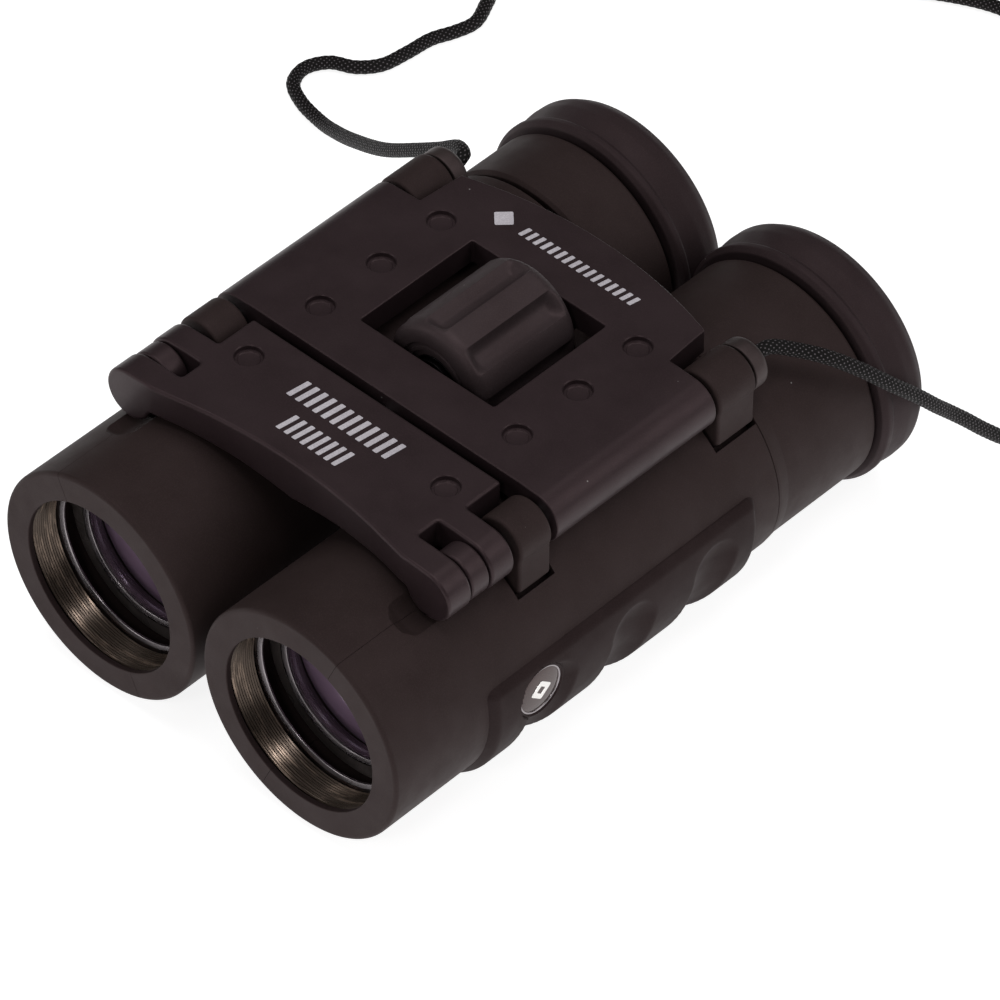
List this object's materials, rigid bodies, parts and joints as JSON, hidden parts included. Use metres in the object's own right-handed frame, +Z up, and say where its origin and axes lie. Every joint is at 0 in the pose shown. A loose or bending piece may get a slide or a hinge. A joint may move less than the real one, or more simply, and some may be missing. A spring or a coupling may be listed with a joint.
{
  "type": "folding pocket binoculars",
  "caption": "Compact folding binoculars: two roof-prism barrels hinged under a flat bridge with a centre focus wheel, rubber eyecups and a neck cord.",
  "frame": {"origin": "centre of the footprint of the folded binoculars without their cord, on the surface they lie on", "axes": "+Y from the objectives to the eyecups, +Z up out of the bridge plate, +X to the right seen from the objective side"},
  "size_m": [0.1131, 0.1934, 0.0405],
  "materials": {
    "plate": "satin black-brown moulded plastic with fine grain",
    "cover": "soft satin black coating",
    "grip_rubber": "matt black rubber pad",
    "eyecup_rubber": "matt black rubber with a faint sheen",
    "wheel_rubber": "matt black rubber, dusty",
    "hub": "dark turned rings",
    "steel": "turned steel",
    "brass": "turned brass",
    "anodised": "black anodised aluminium with worn bronze edges",
    "coated_glass": "coated lens with a violet-grey reflection",
    "prism_glass": "polished glass",
    "lug": "grey-brown plastic end cap",
    "badge": "small silver plate under a clear dome",
    "cord": "round braided black cord",
    "tie": "flat black tie",
    "print": "pale printed bars on the bridge plates"
  },
  "bodies": {
    "bridge": {"main_bridge": "plate", "left_hinge_pin": "steel", "right_hinge_pin": "steel", "left_lug_cap": "lug", "right_lug_cap": "lug", "left_cord_run": "cord", "right_cord_run": "cord", "cord_coil": "cord", "cord_tie": "tie"},
    "front_bridge": {"front_bridge": "plate", "focus_nut": "brass"},
    "focus_wheel": {"focus_wheel": "wheel_rubber", "focus_wheel_hub": "hub", "focus_screw": "steel"},
    "left_barrel": {"left_barrel_frame": "cover", "left_inner_cover": "cover", "left_outer_cover": "cover", "left_grip_pad": "grip_rubber", "left_badge": "badge", "left_prism_cage": "anodised", "left_half_penta_prism": "prism_glass", "left_roof_prism": "prism_glass", "left_field_stop": "anodised", "left_eyepiece_tube": "cover", "left_cord_lead": "cord"},
    "right_barrel": {"right_barrel_frame": "cover", "right_inner_cover": "cover", "right_outer_cover": "cover", "right_grip_pad": "grip_rubber", "right_badge": "badge", "right_prism_cage": "anodised", "right_half_penta_prism": "prism_glass", "right_roof_prism": "prism_glass", "right_field_stop": "anodised", "right_eyepiece_tube": "cover", "right_cord_lead": "cord", "right_ocular_tube": "anodised", "right_field_lens": "prism_glass", "right_eye_lens": "coated_glass", "right_eyecup": "eyecup_rubber"},
    "left_lens_carrier": {"left_objective_cell": "anodised", "left_objective_lens": "coated_glass", "left_lens_retainer": "anodised"},
    "right_lens_carrier": {"right_objective_cell": "anodised", "right_objective_lens": "coated_glass", "right_lens_retainer": "anodised"},
    "left_ocular": {"left_ocular_tube": "anodised", "left_field_lens": "prism_glass", "left_eye_lens": "coated_glass"},
    "dioptre_ring": {"dioptre_ring": "cover", "left_eyecup": "eyecup_rubber"}
  },
  "joints": [
    {"name": "left_fold", "type": "hinge", "parent": "bridge", "child": "left_barrel", "pos_m": [-0.024, 0, 0.0329], "axis": [0, 1, 0], "range_deg": [0, 68]},
    {"name": "right_fold", "type": "hinge", "parent": "bridge", "child": "right_barrel", "pos_m": [0.024, 0, 0.0329], "axis": [0, -1, 0], "range_deg": [0, 68]},
    {"name": "focus_turn", "type": "hinge", "parent": "bridge", "child": "focus_wheel", "pos_m": [0, 0, 0.0329], "axis": [0, 1, 0], "range_deg": [-193, 481]},
    {"name": "front_bridge_slide", "type": "slide", "parent": "bridge", "child": "front_bridge", "axis": [0, -1, 0], "range_m": [-0.0008, 0.002]},
    {"name": "left_lens_slide", "type": "slide", "parent": "left_barrel", "child": "left_lens_carrier", "axis": [0, -1, 0], "range_m": [-0.00081, 0.00201]},
    {"name": "right_lens_slide", "type": "slide", "parent": "right_barrel", "child": "right_lens_carrier", "axis": [0, -1, 0], "range_m": [-0.00081, 0.00201]},
    {"name": "dioptre_turn", "type": "hinge", "parent": "left_ocular", "child": "dioptre_ring", "pos_m": [-0.0162, 0, 0.0162], "axis": [0, 1, 0], "range_deg": [-60, 60]},
    {"name": "left_ocular_slide", "type": "slide", "parent": "left_barrel", "child": "left_ocular", "axis": [0, 1, 0], "range_m": [-0.00046, 0.00046]}
  ],
  "couplings": [
    {"joint": "focus_turn", "follows": "front_bridge_slide", "rad_per_m": 4188.8},
    {"joint": "left_lens_slide", "follows": "front_bridge_slide", "ratio": 1},
    {"joint": "right_lens_slide", "follows": "front_bridge_slide", "ratio": 1},
    {"joint": "left_ocular_slide", "follows": "dioptre_turn", "m_per_rad": 0.00042972}
  ]
}
